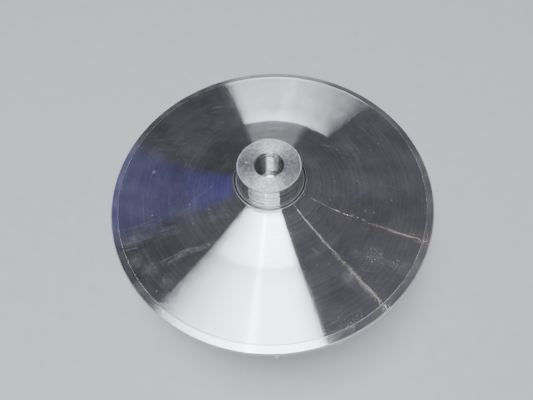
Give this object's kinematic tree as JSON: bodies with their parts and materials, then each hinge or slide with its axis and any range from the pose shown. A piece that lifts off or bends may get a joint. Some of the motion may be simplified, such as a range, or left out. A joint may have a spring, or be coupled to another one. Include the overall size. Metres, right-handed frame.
{
  "type": "turbocharger compressor wheel",
  "caption": "One-piece milled compressor wheel: turned disc with backswept main and splitter blades, stepped boss with a blind thread, hexagonal nose.",
  "frame": {"origin": "centre of the nose's end face, which the wheel stands on", "axes": "+Z along the wheel's axis, from the nose at the inlet side up to the threaded boss on the back face; +X is any direction square to it"},
  "size_m": [0.24, 0.24, 0.1085],
  "materials": {
    "turned_aluminium": "fine turned, with handling scratches"
  },
  "bodies": {
    "root": {"compressor_wheel": "turned_aluminium"}
  },
  "joints": []
}
